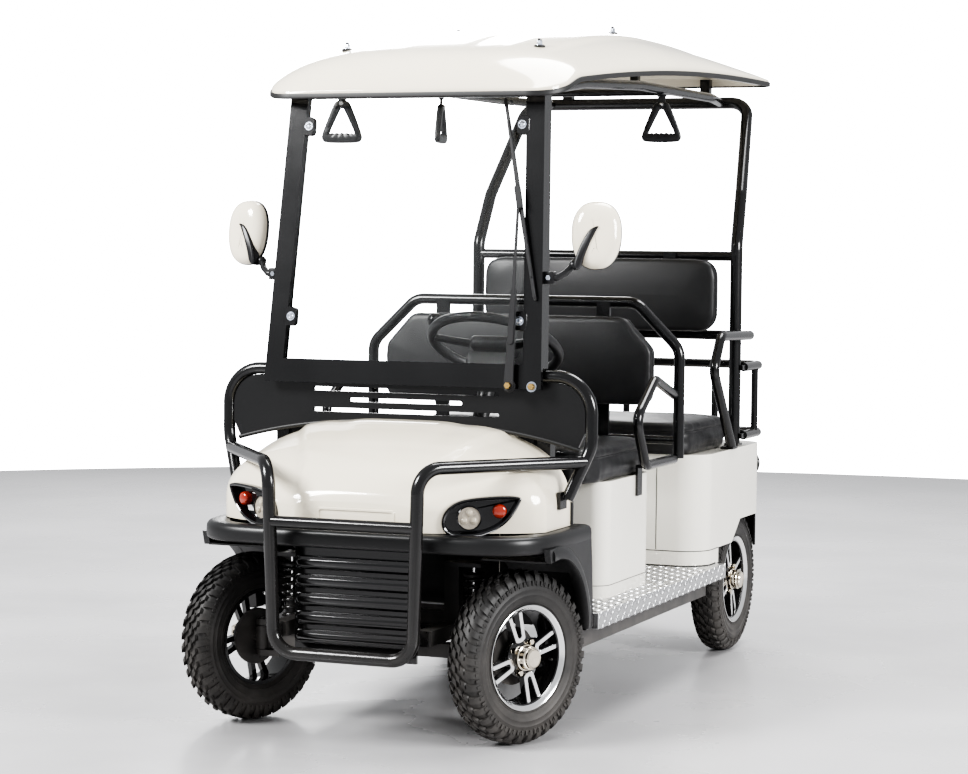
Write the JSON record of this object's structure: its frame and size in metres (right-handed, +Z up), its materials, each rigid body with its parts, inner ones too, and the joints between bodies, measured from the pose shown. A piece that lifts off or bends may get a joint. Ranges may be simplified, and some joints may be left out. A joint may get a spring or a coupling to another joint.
{
  "type": "four-seat electric golf cart",
  "caption": "Open electric golf cart with two bench seats, canopy roof, windscreen, tubular front guard, rear rack and steered front wheels.",
  "frame": {"origin": "on the floor under the middle of the whole machine", "axes": "-Y is the front, +X the cart's left side, +Z up"},
  "size_m": [1.1322, 2.3627, 1.866],
  "materials": {
    "frame_black": "gloss black powder coat",
    "cream_shell": "glossy cream moulded plastic",
    "white_panel": "glossy off-white paint",
    "dark_plastic": "textured dark grey plastic",
    "black_plastic": "satin black plastic",
    "seat_vinyl": "black grained vinyl",
    "tread_plate": "bright tread plate",
    "screen_glass": "clear",
    "lamp_housing": "gloss black housing with lenses",
    "lamp_red": "red lens",
    "axle_steel": "black paint",
    "spring_steel": "satin black",
    "tyre_rubber": "moulded rubber",
    "rim_alloy": "machined faces on black",
    "battery_case": "plain",
    "handle_plastic": "soft black plastic"
  },
  "bodies": {
    "chassis": {"chassis_frame": "frame_black", "battery_block": "battery_case", "floor_deck": "tread_plate", "front_cowl": "cream_shell", "front_wings": "dark_plastic", "front_grille": "black_plastic", "front_guard": "frame_black", "headlamps": "lamp_housing", "dash_panel": "frame_black", "dash_hoop": "frame_black", "dashboard": "black_plastic", "windscreen_frame": "frame_black", "windscreen_glass": "screen_glass", "wiper": "black_plastic", "mirrors": "cream_shell", "roof_shell": "cream_shell", "roof_rails": "frame_black", "rear_hoop": "frame_black", "grab_handles": "handle_plastic", "front_seat_box": "white_panel", "front_seat_cushion": "seat_vinyl", "front_seat_back": "seat_vinyl", "front_seat_hoop": "frame_black", "front_armrests": "frame_black", "rear_body": "white_panel", "rear_seat_cushion": "seat_vinyl", "rear_seat_back": "seat_vinyl", "rear_armrests": "frame_black", "rear_rack": "frame_black", "tail_lamps": "lamp_red", "rear_bumper": "black_plastic", "front_axle": "axle_steel", "front_dampers": "spring_steel", "rear_axle": "axle_steel", "rear_dampers": "spring_steel", "steering_column": "black_plastic", "pedals": "black_plastic"},
    "knuckle_left_body": {"knuckle_left": "axle_steel"},
    "knuckle_right_body": {"knuckle_right": "axle_steel"},
    "tie_rod_body": {"tie_rod": "axle_steel"},
    "steering_wheel_body": {"steering_wheel": "handle_plastic"},
    "wheel_front_left": {"tyre_front_left": "tyre_rubber", "rim_front_left": "rim_alloy"},
    "wheel_front_right": {"tyre_front_right": "tyre_rubber", "rim_front_right": "rim_alloy"},
    "wheel_rear_left": {"tyre_rear_left": "tyre_rubber", "rim_rear_left": "rim_alloy"},
    "wheel_rear_right": {"tyre_rear_right": "tyre_rubber", "rim_rear_right": "rim_alloy"}
  },
  "joints": [
    {"name": "front_left_steer", "type": "hinge", "parent": "chassis", "child": "knuckle_left_body", "pos_m": [0.343, -0.912, 0.22], "axis": [0, 0, 1], "range_deg": [0, 45.6]},
    {"name": "front_right_steer", "type": "hinge", "parent": "chassis", "child": "knuckle_right_body", "pos_m": [-0.343, -0.912, 0.22], "axis": [0, 0, 1], "range_deg": [0, 45.6]},
    {"name": "tie_rod_turn", "type": "hinge", "parent": "knuckle_left_body", "child": "tie_rod_body", "pos_m": [0.3802, -0.8235, 0.244], "axis": [0, 0, 1], "range_deg": [-45.6, 0]},
    {"name": "steering_wheel_turn", "type": "hinge", "parent": "chassis", "child": "steering_wheel_body", "pos_m": [0.16, -0.54, 0.986], "axis": [0, 0.4695, 0.8829], "range_deg": [0, 456]},
    {"name": "front_left_roll", "type": "hinge", "parent": "knuckle_left_body", "child": "wheel_front_left", "pos_m": [0.37988, -0.9275, 0.22], "axis": [0.9219, -0.3875, 0], "continuous": true},
    {"name": "front_right_roll", "type": "hinge", "parent": "knuckle_right_body", "child": "wheel_front_right", "pos_m": [-0.37988, -0.8965, 0.22], "axis": [0.9219, -0.3875, 0], "continuous": true},
    {"name": "rear_left_roll", "type": "hinge", "parent": "chassis", "child": "wheel_rear_left", "pos_m": [0.415, 0.768, 0.22], "axis": [1, 0, 0], "continuous": true},
    {"name": "rear_right_roll", "type": "hinge", "parent": "chassis", "child": "wheel_rear_right", "pos_m": [-0.415, 0.768, 0.22], "axis": [1, 0, 0], "continuous": true}
  ],
  "couplings": [
    {"joint": "front_right_steer", "follows": "front_left_steer", "ratio": 1},
    {"joint": "tie_rod_turn", "follows": "front_left_steer", "ratio": -1},
    {"joint": "steering_wheel_turn", "follows": "front_left_steer", "ratio": 10}
  ]
}
